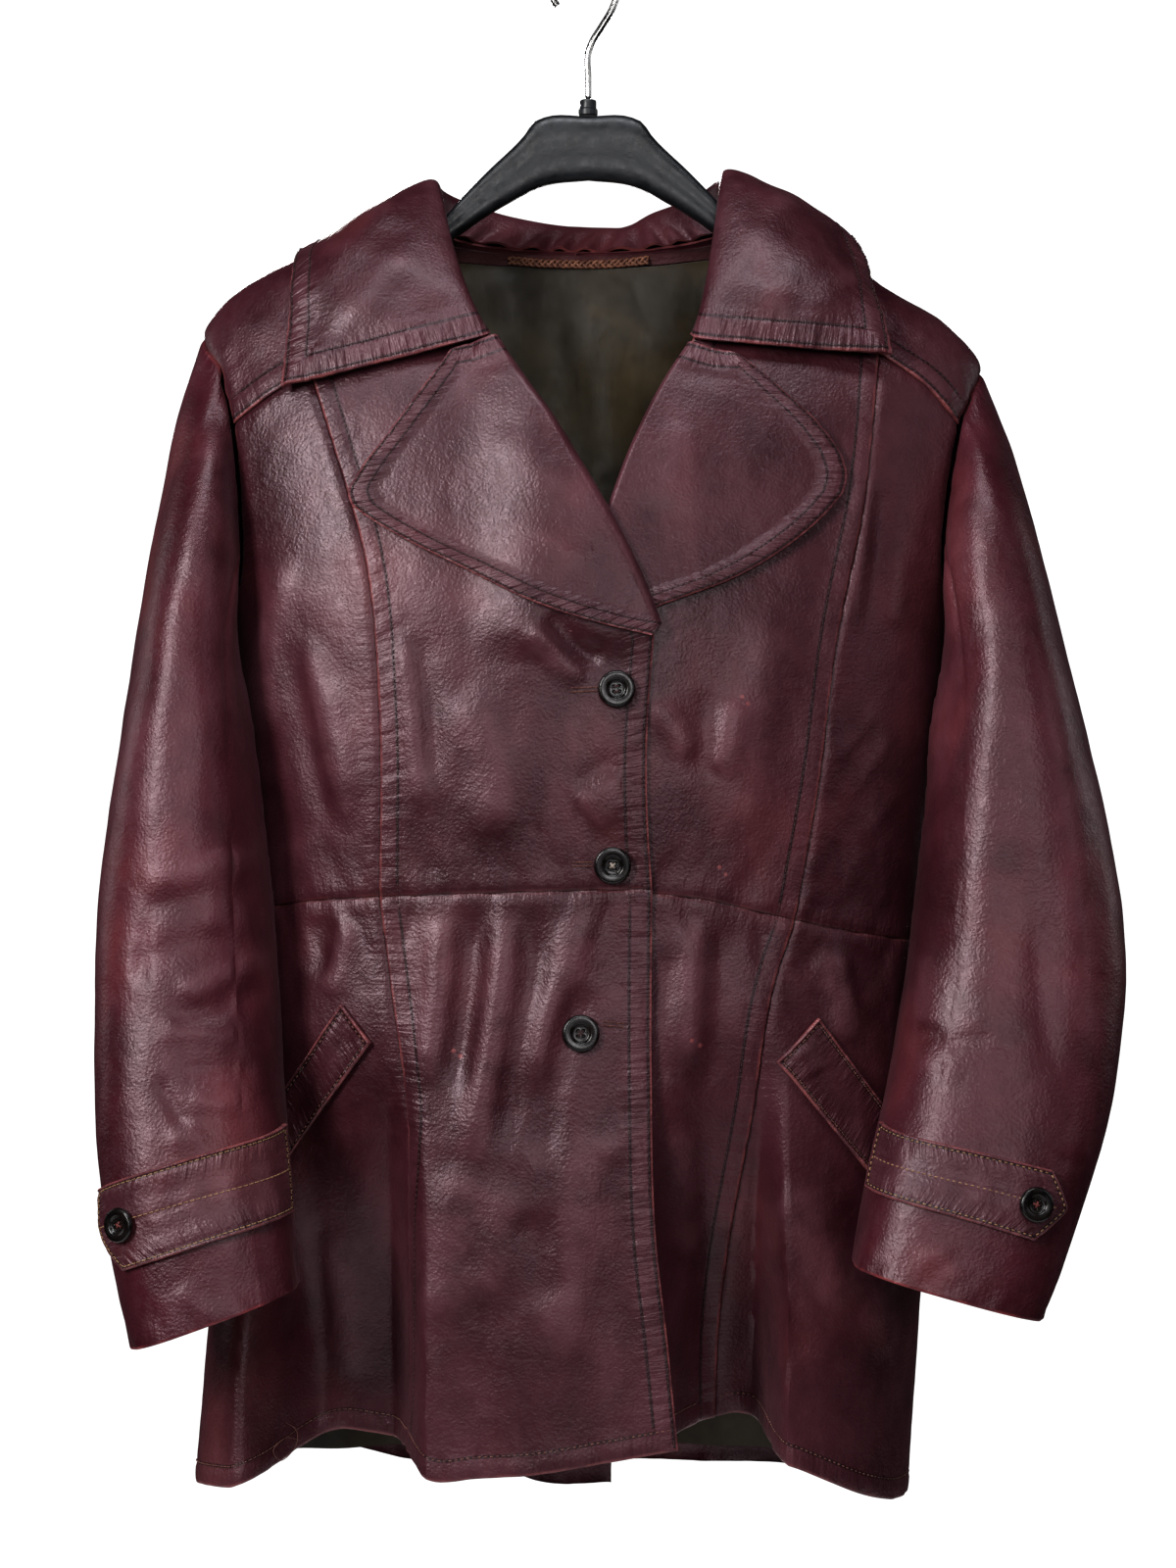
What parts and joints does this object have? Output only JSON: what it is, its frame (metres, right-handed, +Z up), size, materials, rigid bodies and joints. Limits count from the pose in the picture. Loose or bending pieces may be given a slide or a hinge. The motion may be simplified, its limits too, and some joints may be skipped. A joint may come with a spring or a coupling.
{
  "type": "leather coat on hanger",
  "caption": "Worn thigh-length burgundy leather coat, buttoned up, with a wide notched collar and lapels, hanging on a black plastic hanger with a wire hook.",
  "frame": {"origin": "on the underside of the top of the hook's bend, where the rail that holds the hanger touches it", "axes": "+Z up, +X to the viewer's right across the coat's front, -Y out of the coat's front"},
  "size_m": [0.5858, 0.2426, 0.9256],
  "materials": {
    "burgundy_leather": "worn, semi-gloss with a soft sheen",
    "inner_leather": "matt, little worn",
    "olive_satin": "satin",
    "brown_braid": "matt",
    "dark_horn": "polished",
    "black_plastic": "moulded satin",
    "plated_steel": "bright plated wire"
  },
  "bodies": {
    "root": {"back_lower_l": "burgundy_leather", "back_lower_r": "burgundy_leather", "back_upper_l": "burgundy_leather", "back_upper_r": "burgundy_leather", "button_cuff_l": "dark_horn", "button_cuff_r": "dark_horn", "button_front_1": "dark_horn", "button_front_2": "dark_horn", "button_front_3": "dark_horn", "collar_leaf": "burgundy_leather", "collar_stand": "inner_leather", "front_lower_l": "burgundy_leather", "front_lower_r": "burgundy_leather", "front_upper_l": "burgundy_leather", "front_upper_r": "burgundy_leather", "hanger": "black_plastic", "hanger_boss": "black_plastic", "hanging_loop": "brown_braid", "hook": "plated_steel", "lapel_l": "burgundy_leather", "lapel_r": "burgundy_leather", "lining_back": "olive_satin", "neck_facing": "inner_leather", "pocket_welt_l": "burgundy_leather", "pocket_welt_r": "burgundy_leather", "side_front_lower_l": "burgundy_leather", "side_front_lower_r": "burgundy_leather", "side_front_upper_l": "burgundy_leather", "side_front_upper_r": "burgundy_leather", "sleeve_tab_l": "burgundy_leather", "sleeve_tab_r": "burgundy_leather", "sleeve_under_l": "burgundy_leather", "sleeve_under_r": "burgundy_leather", "sleeve_upper_l": "burgundy_leather", "sleeve_upper_r": "burgundy_leather", "yoke_l": "burgundy_leather", "yoke_r": "burgundy_leather"}
  },
  "joints": []
}
